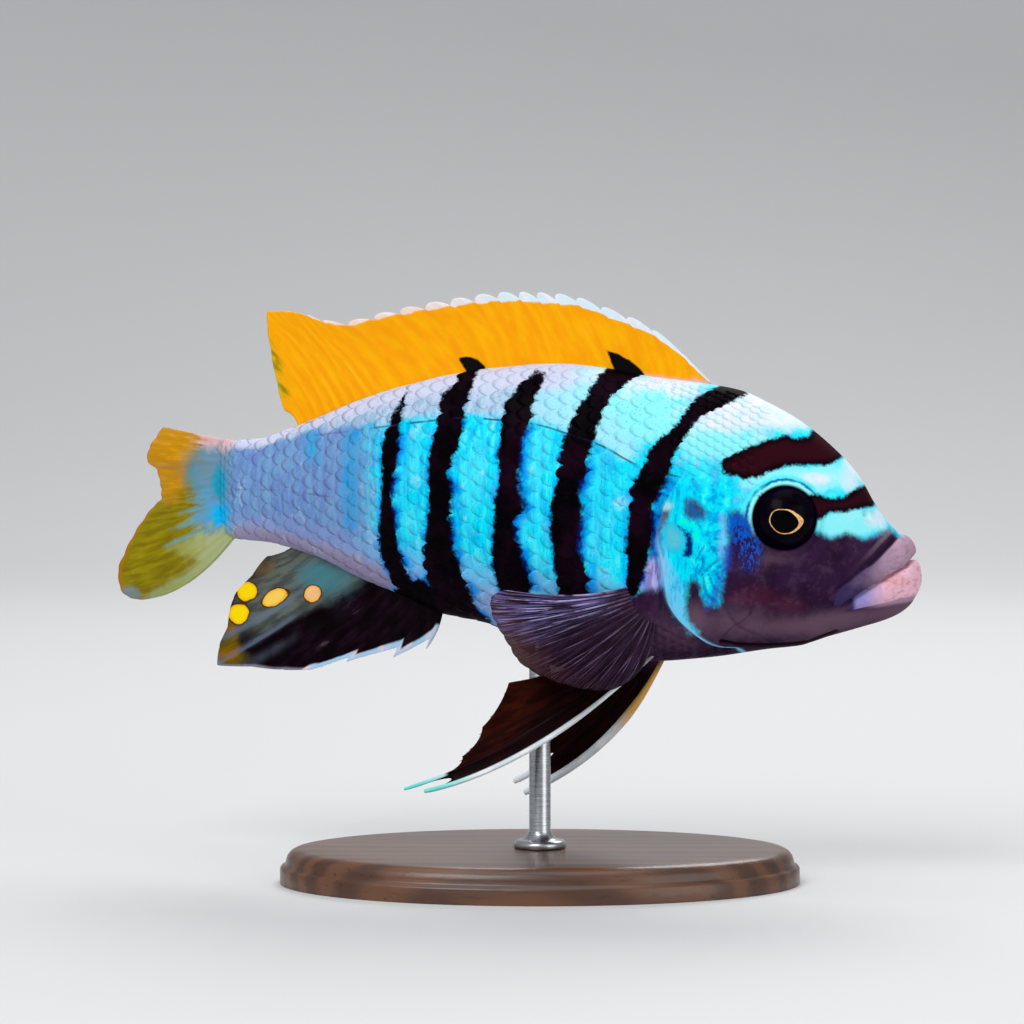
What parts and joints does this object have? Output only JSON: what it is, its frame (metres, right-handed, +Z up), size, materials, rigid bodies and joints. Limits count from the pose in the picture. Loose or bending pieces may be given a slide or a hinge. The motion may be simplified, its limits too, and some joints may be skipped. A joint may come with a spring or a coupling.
{
  "type": "afra cichlid",
  "caption": "Life-size display model of a barred rock-dwelling cichlid, tail swung to one side, held over an oval base by a short rod.",
  "frame": {"origin": "middle of the stand base's underside, on the surface it rests on", "axes": "+X towards the fish's head, +Y towards its left side, +Z up"},
  "size_m": [0.0944, 0.0497, 0.0678],
  "materials": {
    "blue_skin": "satin",
    "lip_skin": "satin",
    "eye_black": "polished",
    "orange_fin": "satin",
    "dark_fin": "satin",
    "olive_fin": "satin",
    "walnut": "oiled",
    "steel": "satin"
  },
  "bodies": {
    "root": {"head": "blue_skin", "trunk": "blue_skin", "tail_stalk": "blue_skin", "gill_cover_right": "blue_skin", "gill_cover_left": "blue_skin", "upper_lip": "lip_skin", "lower_jaw": "lip_skin", "eye_right": "eye_black", "eye_left": "eye_black", "dorsal_fin": "orange_fin", "anal_fin": "dark_fin", "tail_fin": "olive_fin", "pectoral_fin_right": "dark_fin", "pectoral_fin_left": "dark_fin", "pelvic_fin_right": "dark_fin", "pelvic_fin_left": "dark_fin", "stand_base": "walnut", "stand_rod": "steel"}
  },
  "joints": []
}
